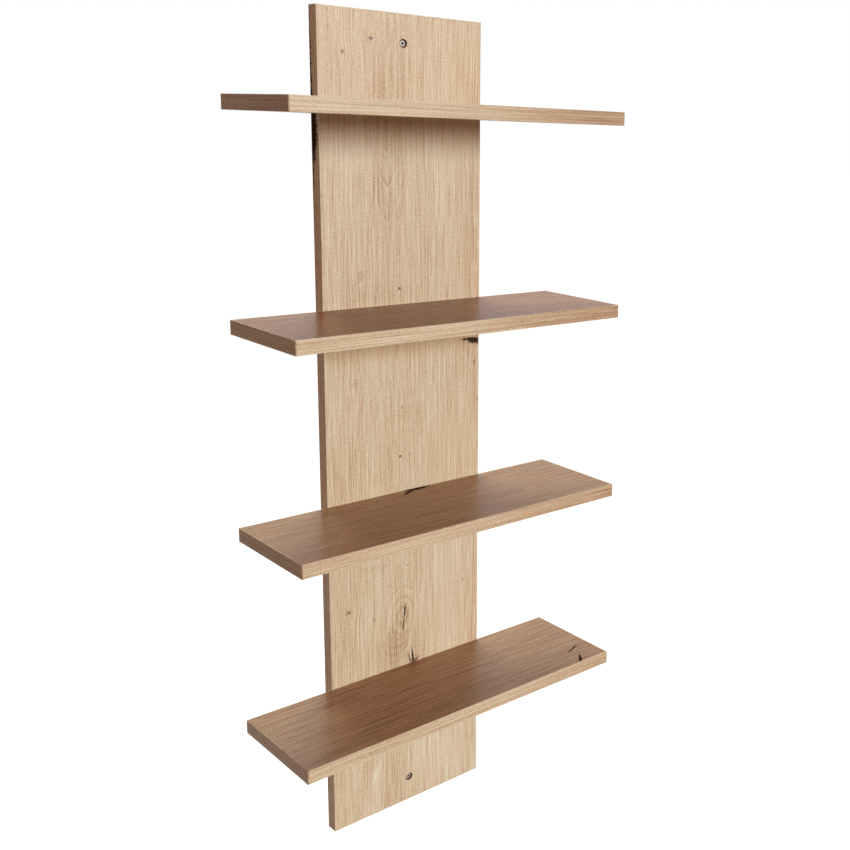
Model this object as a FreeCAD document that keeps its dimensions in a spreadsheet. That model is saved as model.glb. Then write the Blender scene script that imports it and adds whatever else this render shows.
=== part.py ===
import FreeCAD, Part
import os
import Sketcher

# A wall-hung bookshelf. One upright spine board lies flat on the wall and carries four shelf
# boards on its front face. Every board is laminated chipboard with edge bands all round. Each shelf
# is held by countersunk connecting screws that come through the spine from behind, with wooden
# dowels between them. Two countersunk screws on the centre line hold the spine to the wall.
#
# Millimetres, +Z up, +X to the right, front towards -Y. The origin is on the wall plane, which is
# the spine's back face, midway between the two wall screws.

doc = FreeCAD.newDocument("SpineBookshelf")

# name, value, what it is
SIZES = [
    ("board_thickness", 22, "spine and shelf boards"),
    ("spine_width", 300, "left to right, over the bands"),
    ("spine_height", 1370, "bottom to top, over the bands"),
    ("shelf_length", 600, "left to right, over the bands"),
    ("shelf_depth", 195, "from the spine's front face to the shelf's front edge"),
    ("shelf_gap", 300, "clear height between two shelves"),
    ("top_margin", 136, "spine above the top shelf"),
    ("band_thickness", 2, "edge bands on every edge"),
    ("band_rounding", 0.8, "radius on a band's outer edges"),
    ("wall_screw_inset", 45, "wall screw to the nearer end of the spine"),
    ("wall_screw_length", 60, "head to tip"),
    ("wall_thread_diameter", 4.5, "over the thread that goes into the wall plug"),
    ("wall_shank_diameter", 3.3, "smooth shank inside the spine"),
    ("wall_head_diameter", 9, "countersunk head"),
    ("wall_head_sink", 2.5, "head's rim below the spine's front face"),
    ("wall_tip_length", 5, "pointed end"),
    ("recess_width", 1.2, "arms of the cross recess"),
    ("recess_reach", 4.4, "across the cross recess"),
    ("recess_depth", 1.7, "cross recess below the head's face"),
    ("wall_hole_diameter", 5, "through the spine"),
    ("connector_offset", 110, "outer connecting screws from the centre line"),
    ("connector_length", 50, "head to tip"),
    ("connector_diameter", 6.4, "over the thread"),
    ("connector_head_diameter", 10, "countersunk head"),
    ("connector_sink", 0.5, "head's rim below the spine's back face"),
    ("connector_tip_length", 2, "bevelled end"),
    ("socket_width", 4, "hexagon socket, across flats"),
    ("socket_depth", 3, "hexagon socket below the head's face"),
    ("dowel_offset", 55, "dowels from the centre line"),
    ("dowel_diameter", 8, "grooved beech dowel"),
    ("dowel_length", 30, "end to end"),
    ("dowel_in_spine", 12, "the dowel's share inside the spine"),
    ("dowel_chamfer", 1, "bevel on both ends"),
    ("fit_clearance", 0.05, "radial, around screws and dowels"),
    ("hole_end_space", 1, "left free past a blind hole's screw or dowel"),
]
COUNTERSINK_ANGLE = 90
CONNECTOR_COLUMNS = (-1, 0, 1)
DOWEL_COLUMNS = (-1, 1)
SHELVES = ("top", "upper", "lower", "bottom")

sheet = doc.addObject("Spreadsheet::Sheet", "Sizes")
for row, (alias, value, note) in enumerate(SIZES, 1):
    sheet.set(f"A{row}", alias)
    sheet.set(f"B{row}", str(value))
    sheet.set(f"C{row}", note)
    sheet.setAlias(f"B{row}", alias)
doc.recompute()


def sized(text):
    """The expression with Sizes. put before each alias that it uses."""
    words = {alias for alias, value, note in SIZES}
    return " ".join(f"Sizes.{word}" if word in words else word for word in text.split())


def plane(body, role):
    """One of the body's own origin planes."""
    return next(item for item in body.Origin.OriginFeatures if item.Role == role)


# Places that several pieces share, as expressions of the sizes.
SPINE_TOP = "( spine_height / 2 )"
SHELF_END = "( shelf_length / 2 - band_thickness )"
WALL_SCREW_HEIGHT = f"( {SPINE_TOP} - wall_screw_inset )"
CONNECTOR_HOLE = "( connector_diameter + 2 * fit_clearance )"
CONNECTOR_REACH = "( connector_sink + connector_length - board_thickness )"
DOWEL_HOLE = "( dowel_diameter + 2 * fit_clearance )"
DOWEL_IN_SHELF = "( dowel_length - dowel_in_spine )"
WALL_HEAD_PLANE = "( wall_head_sink - board_thickness )"


def shelf_height(level):
    """Middle of a shelf's thickness. Level 0 is the top shelf."""
    step = "( shelf_gap + board_thickness )"
    return f"( {SPINE_TOP} - top_margin - board_thickness / 2 - {level} * {step} )"


def new_body(label, x="0", y="0", z="0"):
    """An empty body with its Placement bound to the sheet."""
    body = doc.addObject("PartDesign::Body", label)
    body.Label = label
    for axis, place in zip("xyz", (x, y, z)):
        body.setExpression(f".Placement.Base.{axis}", sized(place))
    return body


def new_sketch(body, name, role, lift="0"):
    """A sketch on one of the body's origin planes, moved along that plane's normal by lift."""
    sketch = body.newObject("Sketcher::SketchObject", name)
    sketch.AttachmentSupport = [(plane(body, role), "")]
    sketch.MapMode = "FlatFace"
    sketch.setExpression(".AttachmentOffset.Base.z", sized(lift))
    return sketch


def constrain(sketch, *constraint, size=None):
    """Adds a constraint, and binds it to the sheet if it has a size."""
    if size is None:
        sketch.addConstraint(Sketcher.Constraint(*constraint))
        return
    value = float(sketch.evalExpression(sized(size)))
    index = sketch.addConstraint(Sketcher.Constraint(*constraint, value))
    sketch.setExpression(f"Constraints[{index}]", sized(size))


def outline(sketch, corners):
    """A closed outline of straight lines. Each corner is a pair of expressions."""
    points = [
        FreeCAD.Vector(*(float(sketch.evalExpression(sized(place))) for place in corner), 0)
        for corner in corners
    ]
    count = len(points)
    for index in range(count):
        sketch.addGeometry(Part.LineSegment(points[index], points[(index + 1) % count]), False)
    for index, (across, along) in enumerate(corners):
        constrain(sketch, "Coincident", index, 2, (index + 1) % count, 1)
        constrain(sketch, "DistanceX", -1, 1, index, 1, size=across)
        constrain(sketch, "DistanceY", -1, 1, index, 1, size=along)


def rectangle(sketch, left, right, low, high):
    outline(sketch, [(left, low), (right, low), (right, high), (left, high)])


def circles(sketch, diameter, centres):
    """Equal circles. Each centre is a pair of expressions."""
    radius = float(sketch.evalExpression(sized(diameter))) / 2
    for across, along in centres:
        place = [float(sketch.evalExpression(sized(text))) for text in (across, along)]
        circle = Part.Circle(FreeCAD.Vector(*place, 0), FreeCAD.Vector(0, 0, 1), radius)
        index = sketch.addGeometry(circle, False)
        constrain(sketch, "Diameter", index, size=diameter)
        constrain(sketch, "DistanceX", -1, 1, index, 3, size=across)
        constrain(sketch, "DistanceY", -1, 1, index, 3, size=along)


def pad(body, sketch, length, side="One side", backwards=False):
    feature = body.newObject("PartDesign::Pad", f"{sketch.Name}Pad")
    feature.Profile = sketch
    feature.SideType = side
    feature.Reversed = backwards
    feature.setExpression("Length", sized(length))
    sketch.Visibility = False
    doc.recompute()
    return feature


def check_cut(body, volume_before, name):
    doc.recompute()
    if not body.Shape.Volume < volume_before - 0.1:
        raise RuntimeError(f"{body.Label}: {name} removes nothing")


def pocket(body, sketch, depth, backwards=False):
    before = body.Shape.Volume
    feature = body.newObject("PartDesign::Pocket", f"{sketch.Name}Pocket")
    feature.Profile = sketch
    feature.Reversed = backwards
    feature.setExpression("Length", sized(depth))
    check_cut(body, before, sketch.Name)
    return feature


def countersunk_holes(body, sketch, diameter, mouth, backwards=False):
    """Through holes with a conical mouth on the sketch's side."""
    doc.recompute()
    before = body.Shape.Volume
    feature = body.newObject("PartDesign::Hole", f"{sketch.Name}Hole")
    feature.Profile = sketch
    doc.recompute()
    feature.ThreadType = "None"
    feature.HoleCutType = "Countersink"
    feature.HoleCutCustomValues = True
    feature.DepthType = "ThroughAll"
    feature.Reversed = backwards
    feature.setExpression("Diameter", sized(diameter))
    feature.setExpression("HoleCutDiameter", sized(mouth))
    feature.HoleCutCountersinkAngle = COUNTERSINK_ANGLE
    check_cut(body, before, sketch.Name)


def round_edges(body, feature, belongs):
    """Rounds the edges of the feature for which belongs(edge) is true."""
    names = [
        f"Edge{number}" for number, edge in enumerate(feature.Shape.Edges, 1) if belongs(edge)
    ]
    fillet = body.newObject("PartDesign::Fillet", "Rounding")
    fillet.Base = (feature, names)
    fillet.setExpression("Radius", sized("band_rounding"))
    doc.recompute()


def lies_at(edge, axis, place):
    """True if both of the edge's ends are at this place along the axis."""
    return all(abs(getattr(vertex.Point, axis) - place) < 1e-6 for vertex in edge.Vertexes)


def runs_along(edge, axis):
    """True if the edge is longest along the axis."""
    box = edge.BoundBox
    spans = {"x": box.XLength, "y": box.YLength, "z": box.ZLength}
    return spans[axis] == max(spans.values())


# ---- spine -----------------------------------------------------------------------------------


def make_spine_board():
    """The core of the upright, drilled for the wall screws, the connecting screws and the dowels."""
    body = new_body("spine_board")
    side = "( spine_width / 2 - band_thickness )"
    end = f"( {SPINE_TOP} - band_thickness )"
    face = new_sketch(body, "SpineFace", "XZ_Plane")
    rectangle(face, f"- {side}", side, f"- {end}", end)
    pad(body, face, "board_thickness")

    wall = new_sketch(body, "WallScrews", "XZ_Plane", lift="board_thickness")
    circles(wall, "wall_hole_diameter", [("0", WALL_SCREW_HEIGHT), ("0", f"- {WALL_SCREW_HEIGHT}")])
    mouth = "wall_head_diameter + 2 * ( wall_head_sink + fit_clearance )"
    countersunk_holes(body, wall, "wall_hole_diameter", mouth)

    connectors = new_sketch(body, "Connectors", "XZ_Plane")
    centres = [
        (f"{column} * connector_offset", shelf_height(level))
        for level in range(len(SHELVES))
        for column in CONNECTOR_COLUMNS
    ]
    circles(connectors, CONNECTOR_HOLE, centres)
    mouth = "connector_head_diameter + 2 * ( connector_sink + fit_clearance )"
    countersunk_holes(body, connectors, CONNECTOR_HOLE, mouth, backwards=True)

    dowels = new_sketch(body, "Dowels", "XZ_Plane", lift="board_thickness")
    centres = [
        (f"{column} * dowel_offset", shelf_height(level))
        for level in range(len(SHELVES))
        for column in DOWEL_COLUMNS
    ]
    circles(dowels, DOWEL_HOLE, centres)
    pocket(body, dowels, "dowel_in_spine + hole_end_space")
    return body


def make_spine_side_band(name, sign):
    """Band on one long edge of the spine, between the two end bands."""
    body = new_body(name, x=f"{sign} * ( spine_width / 2 - band_thickness )")
    section = new_sketch(body, "Section", "XY_Plane")
    outer = f"{sign} * band_thickness"
    rectangle(section, "0", outer, "- board_thickness", "0")
    strip = pad(body, section, "spine_height - 2 * band_thickness", side="Symmetric")
    face = sign * sheet.band_thickness
    round_edges(body, strip, lambda edge: lies_at(edge, "x", face) and runs_along(edge, "z"))
    return body


def make_spine_end_band(name, sign):
    """Band over the spine's top or bottom end, across the full width."""
    body = new_body(name, z=f"{sign} * ( {SPINE_TOP} - band_thickness )")
    section = new_sketch(body, "Section", "XY_Plane")
    rectangle(section, "- spine_width / 2", "spine_width / 2", "- board_thickness", "0")
    strip = pad(body, section, "band_thickness", backwards=sign < 0)
    round_edges(body, strip, lambda edge: lies_at(edge, "z", sign * sheet.band_thickness))
    return body


# ---- shelves: in each body, y = 0 is the spine's front face and z = 0 the middle of the board ------


def shelf_body(name, level, x="0"):
    return new_body(name, x=x, y="- board_thickness", z=shelf_height(level))


def drill_back_edge(body):
    """Holes for the connecting screws and the dowels, from the spine's front face into the shelf."""
    screws = new_sketch(body, "ScrewHoles", "XZ_Plane")
    centres = [(f"{column} * connector_offset", "0") for column in CONNECTOR_COLUMNS]
    circles(screws, CONNECTOR_HOLE, centres)
    pocket(body, screws, f"{CONNECTOR_REACH} + hole_end_space", backwards=True)
    dowels = new_sketch(body, "DowelHoles", "XZ_Plane")
    circles(dowels, DOWEL_HOLE, [(f"{column} * dowel_offset", "0") for column in DOWEL_COLUMNS])
    pocket(body, dowels, f"{DOWEL_IN_SHELF} + hole_end_space", backwards=True)


def make_shelf_board(name, level):
    """The shelf's core, inside its four bands."""
    body = shelf_body(name, level)
    face = new_sketch(body, "ShelfFace", "XY_Plane")
    rectangle(face, f"- {SHELF_END}", SHELF_END, "band_thickness - shelf_depth", "- band_thickness")
    pad(body, face, "board_thickness", side="Symmetric")
    drill_back_edge(body)
    return body


def make_shelf_back_band(name, level):
    """Band on the shelf's back edge, between the end bands. It lies against the spine."""
    body = shelf_body(name, level)
    face = new_sketch(body, "BandFace", "XY_Plane")
    rectangle(face, f"- {SHELF_END}", SHELF_END, "- band_thickness", "0")
    pad(body, face, "board_thickness", side="Symmetric")
    drill_back_edge(body)
    return body


def make_shelf_front_band(name, level):
    """Band on the shelf's front edge, between the end bands, with its two long edges rounded."""
    body = shelf_body(name, level)
    face = new_sketch(body, "BandFace", "XY_Plane")
    rectangle(face, f"- {SHELF_END}", SHELF_END, "- shelf_depth", "band_thickness - shelf_depth")
    strip = pad(body, face, "board_thickness", side="Symmetric")
    front = -sheet.shelf_depth
    round_edges(body, strip, lambda edge: lies_at(edge, "y", front) and runs_along(edge, "x"))
    return body


def make_shelf_end_band(name, level, sign):
    """Band over one end of the shelf, across the full depth, rounded all round its outer face."""
    body = shelf_body(name, level, x=f"{sign} * {SHELF_END}")
    face = new_sketch(body, "BandFace", "YZ_Plane")
    rectangle(face, "- shelf_depth", "0", "- board_thickness / 2", "board_thickness / 2")
    strip = pad(body, face, "band_thickness", backwards=sign < 0)
    round_edges(body, strip, lambda edge: lies_at(edge, "x", sign * sheet.band_thickness))
    return body


# ---- fasteners -------------------------------------------------------------------------------


def turned(body, name, profile):
    """A solid turned about the body's Y axis. The profile's corners are (radius, y)."""
    half = new_sketch(body, name, "XY_Plane")
    outline(half, profile)
    feature = body.newObject("PartDesign::Revolution", f"{name}Turned")
    feature.Profile = half
    feature.ReferenceAxis = (half, ["V_Axis"])
    feature.Angle = 360
    doc.recompute()
    return feature


def repeat_across(body, features, spacing, count):
    """Copies the features to the right. The body starts at the leftmost copy."""
    row = body.newObject("PartDesign::LinearPattern", "Row")
    row.Originals = features
    row.Direction = (features[0].Profile[0], ["H_Axis"])
    row.setExpression("Length", sized(f"{spacing} * {count - 1}"))
    row.Occurrences = count
    body.Tip = row
    doc.recompute()


def make_connecting_screws(name, level):
    """The countersunk screws that pull one shelf against the spine. Their heads face the wall."""
    first = CONNECTOR_COLUMNS[0]
    body = new_body(name, x=f"{first} * connector_offset", z=shelf_height(level))
    head = "connector_head_diameter / 2"
    shank = "connector_diameter / 2"
    rim = "- connector_sink"
    tip = "- connector_sink - connector_length"
    profile = [
        ("0", rim),
        (head, rim),
        (shank, f"{rim} - ( {head} - {shank} )"),
        (shank, f"{tip} + connector_tip_length"),
        (f"{shank} / 2", tip),
        ("0", tip),
    ]
    screw = turned(body, "Screw", profile)
    socket = new_sketch(body, "Socket", "XZ_Plane", lift="connector_sink")
    corner = "( socket_width / 2 / cos(30) )"
    flats = "( socket_width / 2 )"
    hexagon = [
        (corner, "0"),
        (f"{corner} / 2", flats),
        (f"- {corner} / 2", flats),
        (f"- {corner}", "0"),
        (f"- {corner} / 2", f"- {flats}"),
        (f"{corner} / 2", f"- {flats}"),
    ]
    outline(socket, hexagon)
    hollow = pocket(body, socket, "socket_depth", backwards=True)
    repeat_across(body, [screw, hollow], "connector_offset", len(CONNECTOR_COLUMNS))
    return body


def make_dowels(name, level):
    """The wooden dowels that keep one shelf from turning on its screws."""
    first = DOWEL_COLUMNS[0]
    start = "- ( board_thickness - dowel_in_spine )"
    body = new_body(name, x=f"{first} * dowel_offset", y=start, z=shelf_height(level))
    radius = "dowel_diameter / 2"
    profile = [
        ("0", "0"),
        (f"{radius} - dowel_chamfer", "0"),
        (radius, "- dowel_chamfer"),
        (radius, "dowel_chamfer - dowel_length"),
        (f"{radius} - dowel_chamfer", "- dowel_length"),
        ("0", "- dowel_length"),
    ]
    dowel = turned(body, "Dowel", profile)
    repeat_across(body, [dowel], "2 * dowel_offset", len(DOWEL_COLUMNS))
    return body


def make_wall_screw(name, sign):
    """A countersunk wall screw. Its smooth shank fills the spine, and its thread starts at the wall."""
    body = new_body(name, z=f"{sign} * {WALL_SCREW_HEIGHT}")
    head = "wall_head_diameter / 2"
    shank = "wall_shank_diameter / 2"
    thread = "wall_thread_diameter / 2"
    tip = f"{WALL_HEAD_PLANE} + wall_screw_length"
    profile = [
        ("0", WALL_HEAD_PLANE),
        (head, WALL_HEAD_PLANE),
        (shank, f"{WALL_HEAD_PLANE} + {head} - {shank}"),
        (shank, "0"),
        (thread, "0"),
        (thread, f"{tip} - wall_tip_length"),
        ("0", tip),
    ]
    turned(body, "Screw", profile)
    for slot_name, wide, high in (
        ("SlotAcross", "recess_reach / 2", "recess_width / 2"),
        ("SlotUpright", "recess_width / 2", "recess_reach / 2"),
    ):
        slot = new_sketch(body, slot_name, "XZ_Plane", lift=f"- {WALL_HEAD_PLANE}")
        rectangle(slot, f"- {wide}", wide, f"- {high}", high)
        pocket(body, slot, "recess_depth")
    return body


pieces = [
    make_spine_board(),
    make_spine_side_band("spine_left_band", -1),
    make_spine_side_band("spine_right_band", 1),
    make_spine_end_band("spine_top_band", 1),
    make_spine_end_band("spine_bottom_band", -1),
    make_wall_screw("upper_wall_screw", 1),
    make_wall_screw("lower_wall_screw", -1),
]
for level, shelf in enumerate(SHELVES):
    pieces += [
        make_shelf_board(f"{shelf}_shelf_board", level),
        make_shelf_front_band(f"{shelf}_shelf_front_band", level),
        make_shelf_back_band(f"{shelf}_shelf_back_band", level),
        make_shelf_end_band(f"{shelf}_shelf_left_band", level, -1),
        make_shelf_end_band(f"{shelf}_shelf_right_band", level, 1),
        make_connecting_screws(f"{shelf}_shelf_screws", level),
        make_dowels(f"{shelf}_shelf_dowels", level),
    ]
doc.recompute()

broken = [item.Name for item in doc.Objects if {"Invalid", "Error"} & set(item.State)]
if broken:
    raise RuntimeError(f"these features failed: {broken}")
for piece in pieces:
    if piece.Shape.isNull() or not piece.Shape.isValid():
        raise RuntimeError(f"{piece.Label} has no valid shape")

os.makedirs("parts", exist_ok=True)
for piece in pieces:
    piece.Shape.exportStep(f"parts/{piece.Label}.step")
print(f"{len(pieces)} pieces written")
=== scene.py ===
import math

import bpy
import numpy as np
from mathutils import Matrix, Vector


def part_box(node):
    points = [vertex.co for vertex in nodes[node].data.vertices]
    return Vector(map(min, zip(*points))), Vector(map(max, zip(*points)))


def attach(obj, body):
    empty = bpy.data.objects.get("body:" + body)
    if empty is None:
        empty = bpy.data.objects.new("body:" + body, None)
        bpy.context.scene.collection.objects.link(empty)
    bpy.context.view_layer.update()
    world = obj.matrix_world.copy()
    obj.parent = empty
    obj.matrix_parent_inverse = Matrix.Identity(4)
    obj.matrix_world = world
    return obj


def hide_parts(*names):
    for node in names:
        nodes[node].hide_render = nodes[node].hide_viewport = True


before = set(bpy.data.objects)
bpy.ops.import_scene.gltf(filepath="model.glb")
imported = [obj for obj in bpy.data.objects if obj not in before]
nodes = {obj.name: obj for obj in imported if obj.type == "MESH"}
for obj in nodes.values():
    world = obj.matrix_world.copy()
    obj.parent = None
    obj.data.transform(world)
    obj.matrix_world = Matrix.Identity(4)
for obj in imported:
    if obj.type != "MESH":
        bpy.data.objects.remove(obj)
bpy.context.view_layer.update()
shelves = ("top", "upper", "lower", "bottom")
print("frame loaded:", len(nodes), "nodes")


# shader wiring: plain arithmetic on node outputs
class Wire:
    # a node's output, where each + - * / or named step adds one Math node behind it
    def __init__(self, tree, socket):
        self.tree = tree
        self.socket = socket

    def step(self, operation, *others):
        made = self.tree.nodes.new("ShaderNodeMath")
        made.operation = operation
        for inlet, value in zip(made.inputs, (self, *others)):
            feed(self.tree, inlet, value)
        return Wire(self.tree, made.outputs[0])

    def __add__(self, other):
        return self.step("ADD", other)

    def __sub__(self, other):
        return self.step("SUBTRACT", other)

    def __mul__(self, other):
        return self.step("MULTIPLY", other)

    def __truediv__(self, other):
        return self.step("DIVIDE", other)

    def square(self):
        return self.step("MULTIPLY", self)

    def root(self):
        return self.step("SQRT")

    def size(self):
        return self.step("ABSOLUTE")

    def most(self, other):
        return self.step("MAXIMUM", other)

    def least(self, other):
        return self.step("MINIMUM", other)

    def rise(self, low, high):   # 0 at low, 1 at high, a smooth S between them and flat past both
        made = self.tree.nodes.new("ShaderNodeMapRange")
        made.interpolation_type = "SMOOTHSTEP"
        feed(self.tree, made.inputs["Value"], self)
        feed(self.tree, made.inputs["From Min"], low)
        feed(self.tree, made.inputs["From Max"], high)
        return Wire(self.tree, made.outputs["Result"])

    def hump(self, reach):   # 1 at 0, falling like a bell to 0.37 at the reach
        return ((self / reach).square() * -1).step("EXPONENT")


def feed(tree, inlet, value):   # a wire is linked, a number or colour is written on the socket
    if isinstance(value, Wire):
        tree.links.new(value.socket, inlet)
    else:
        inlet.default_value = value


def colour(red, green, blue):   # 0-255 display values as linear light, by the sRGB curve
    display = np.array([red, green, blue]) / 255
    linear = np.where(display <= 0.04045, display / 12.92, ((display + 0.055) / 1.055) ** 2.4)
    return (*linear.tolist(), 1)


def newMaterial(name):
    material = bpy.data.materials.new(name)
    material.use_nodes = True
    tree = material.node_tree
    tree.nodes.clear()
    return material, tree


def texturePlace(tree, kind):   # x, y and z in metres for Object, the surface's own direction for Normal
    source = tree.nodes.new("ShaderNodeTexCoord")
    split = tree.nodes.new("ShaderNodeSeparateXYZ")
    tree.links.new(source.outputs[kind], split.inputs[0])
    return {axis: Wire(tree, split.outputs[i]) for i, axis in enumerate("xyz")}


def point(tree, x, y, z):
    joined = tree.nodes.new("ShaderNodeCombineXYZ")
    for inlet, value in zip(joined.inputs, (x, y, z)):
        feed(tree, inlet, value)
    return Wire(tree, joined.outputs[0])


def scaled(tree, place, waves):   # a noise's place: each axis times its waves a metre
    return point(tree, *(place[axis] * count for axis, count in zip("xyz", waves)))


def noise(place, detail=2.0, roughness=0.5):   # smooth noise about 0, mostly within 0.25 either side
    made = place.tree.nodes.new("ShaderNodeTexNoise")
    feed(place.tree, made.inputs["Vector"], place)
    made.inputs["Scale"].default_value = 1
    made.inputs["Detail"].default_value = detail
    made.inputs["Roughness"].default_value = roughness
    return Wire(place.tree, made.outputs["Fac"]) - 0.5


def blend(share, low, high, kind="MIX"):   # sockets 6, 7 and 2 of a Mix node are its colours
    tree = next(value.tree for value in (share, low, high) if isinstance(value, Wire))
    made = tree.nodes.new("ShaderNodeMix")
    made.data_type = "RGBA"
    made.blend_type = kind
    feed(tree, made.inputs["Factor"], share)
    feed(tree, made.inputs[6], low)
    feed(tree, made.inputs[7], high)
    return Wire(tree, made.outputs[2])


def ramp(share, stops):   # colours along a line, each stop a place from 0 to 1 and a display colour
    made = share.tree.nodes.new("ShaderNodeValToRGB")
    feed(share.tree, made.inputs["Fac"], share)
    line = made.color_ramp.elements
    while len(line) < len(stops):
        line.new(0.5)
    for stop, (place, tone) in zip(line, stops):
        stop.position = place
        stop.color = colour(*tone)
    return Wire(share.tree, made.outputs["Color"])


def surface(material, tint, roughness, height, relief, **settings):   # ends a material in one shader
    tree = material.node_tree
    shader = tree.nodes.new("ShaderNodeBsdfPrincipled")
    feed(tree, shader.inputs["Base Color"], tint)
    feed(tree, shader.inputs["Roughness"], roughness)
    for name, value in settings.items():
        feed(tree, shader.inputs[name], value)
    bump = tree.nodes.new("ShaderNodeBump")
    bump.inputs["Strength"].default_value = 1
    bump.inputs["Distance"].default_value = relief
    feed(tree, bump.inputs["Height"], height)
    tree.links.new(bump.outputs[0], shader.inputs["Normal"])
    output = tree.nodes.new("ShaderNodeOutputMaterial")
    tree.links.new(shader.outputs[0], output.inputs[0])
    return material


# oak decor: fibres at several widths, rings, pores, knots, splits and the figures where a branch once grew

oakTones = {
    "ramp": [
        (0.0, (162, 122, 90)),
        (0.25, (192, 163, 131)),
        (0.5, (212, 194, 165)),
        (0.75, (224, 213, 188)),
        (1.0, (234, 228, 209)),
    ],
    "pinkish": (255, 250, 247),   # multiplied over broad streaks
    "yellowish": (253, 253, 248),
    "knot": (92, 66, 46),
    "knotRing": (176, 138, 98),
    # also the colour of the painted shadow along the spine's left back edge
    "split": (27, 14, 8),
    "seam": (150, 120, 92),       # the line where a band meets the board
    "worn": (236, 220, 198),
}

# noises of the grain: waves a metre along and across it, seed, detail, roughness of the finer waves
fibreNoises = {
    "rag": (420, 420, 0, 3, 0.6),          # frets the outlines of all marks
    "sway": (2.1, 3.5, 0, 2, 0.55),        # slow wandering of all fibres together
    "drift": (5, 30, 5, 2, 0.55),          # quicker wandering of single strands
    "hair": (36, 1150, 1, 2, 0.6),
    "thread": (11, 560, 2, 1, 0.55),
    "strand": (6, 330, 3, 1, 0.5),
    "medium": (3, 95, 4, 2, 0.55),
    "broad": (1.4, 20, 7, 2, 0.55),
    "fleck": (330, 620, 8, 1, 0.55),
    "pores": (150, 950, 6, 1, 0.55),
    "ringWander": (1.5, 40, 10, 1, 0.55),
    "ringStrength": (3, 120, 9, 2, 0.55),
    "hue": (1.9, 34, 12, 2, 0.55),
}
toneShares = {"hair": 0.6, "thread": 1.0, "strand": 0.13, "medium": 0.08, "pores": -0.10}
heightShares = {"hair": 0.6, "thread": 0.5, "strand": 0.25, "pores": -0.8, "lateWood": -0.12}
roughShares = {"thread": 0.2, "pores": 0.12}
# soft steps that turn a noise, or a place within a ring, into a share from 0 to 1
grainSteps = {
    "strand": (-0.14, 0.14),
    "ringStrength": (-0.12, 0.15),
    "lateWood": (0.3, 0.85),
    "ringEnd": (1.0, 0.92),
    "pores": (0.1, 0.22),
    "hue": (-0.18, 0.18),
}
noiseToOne = 4           # brings a noise to about 1 either side of 0
driftShare = 0.5         # how far single strands wander, as a share of the sway
lateWoodPores = 0.04     # how much more easily the pores open in late wood
middleTone = 0.56
hiddenShift = 7.3        # metres that the marks and the noise move by on a board's hidden side
oakRelief = 0.00006      # metres from the pores' floor to the fibres' crest

plainOak = {
    "sway": 0.004,             # how far the fibres wander sideways
    "stretch": 1.0,            # below 1 the fibres run longer
    "contrast": 1.0,
    "fleck": 0.8,              # strength of the short flecks
    "cloud": 0.26,             # strength of the broad light and dark areas
    "ringWidth": 0.0046,
    "ringShade": 0.09,
    "roughness": 0.42,
    "gloss": 0.3,
    "tone": 0.0,
    "tint": (255, 255, 255),
    "fade": (0.0, 1.0, 0.0),   # the tone falls by the third number between two places along the grain
    "knots": [],
    "splits": [],
    "patches": [],
    "streaks": [],
    "eyes": [],
    "arrows": [],
    "paintedShadeBands": [],
}

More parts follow.
